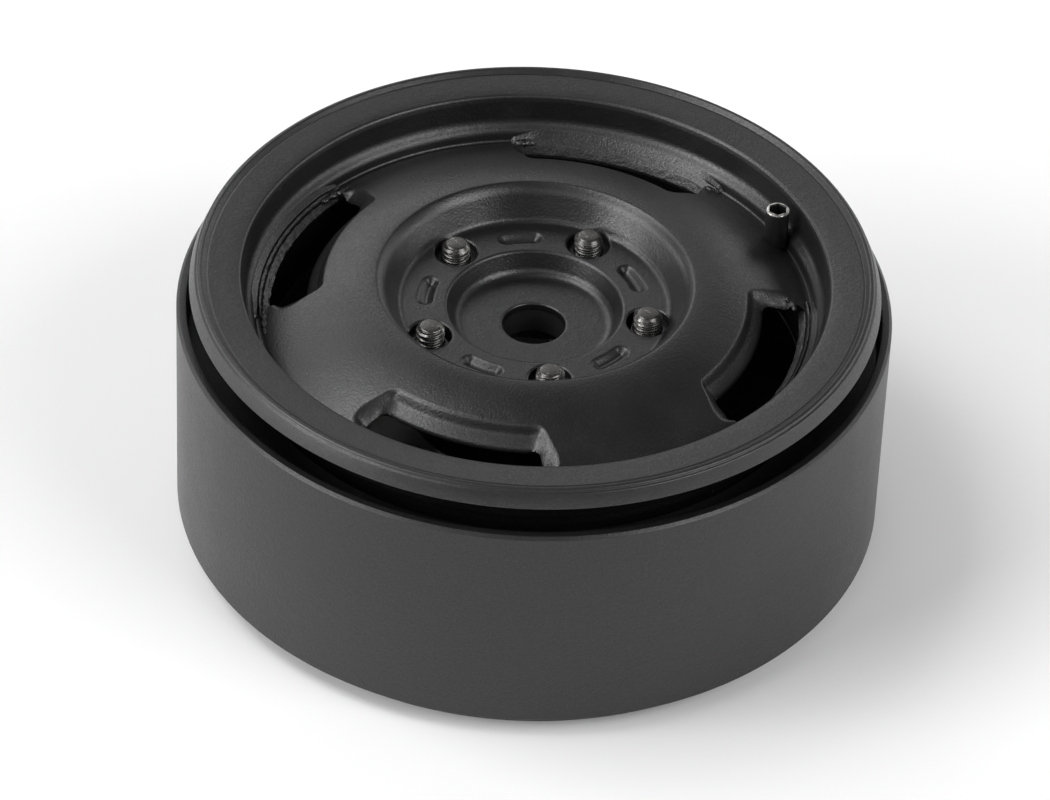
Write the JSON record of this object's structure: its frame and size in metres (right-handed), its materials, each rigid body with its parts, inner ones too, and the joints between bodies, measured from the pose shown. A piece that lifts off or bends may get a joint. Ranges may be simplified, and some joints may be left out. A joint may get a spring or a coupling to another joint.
{
  "type": "beadlock wheel",
  "caption": "Small steel wheel with a stamped slotted disc, two clamped rim halves, a loose beadlock ring between them, threaded lug studs and a drive-hex hub.",
  "frame": {"origin": "centre of the plane on which the rear flange rests, on the wheel's axis", "axes": "+Z along the axle, out of the wheel's face; +X through the valve stem"},
  "size_m": [0.047, 0.047, 0.0198],
  "materials": {
    "rim_paint": "satin black powder coat",
    "disc_paint": "satin black powder coat",
    "ring_anodised": "bead-blasted, black anodised",
    "hub_black": "machined, black anodised",
    "stud_steel": "black oxide, worn bright on the thread crests",
    "screw_steel": "black oxide",
    "valve_metal": "satin black, bare at the open end"
  },
  "bodies": {
    "wheel": {"front_rim": "rim_paint", "wheel_disc": "disc_paint", "rear_rim": "rim_paint", "wheel_hub": "hub_black", "valve_stem": "valve_metal", "lug_stud_1": "stud_steel", "lug_stud_2": "stud_steel", "lug_stud_3": "stud_steel", "lug_stud_4": "stud_steel", "lug_stud_5": "stud_steel", "clamp_screw_1": "screw_steel", "clamp_screw_2": "screw_steel", "clamp_screw_3": "screw_steel", "clamp_screw_4": "screw_steel", "clamp_screw_5": "screw_steel", "clamp_screw_6": "screw_steel", "clamp_screw_7": "screw_steel", "clamp_screw_8": "screw_steel"},
    "ring": {"beadlock_ring": "ring_anodised"}
  },
  "joints": [
    {"name": "ring_slide", "type": "slide", "parent": "wheel", "child": "ring", "axis": [0, 0, 1], "range_m": [0, 0.00155]}
  ]
}
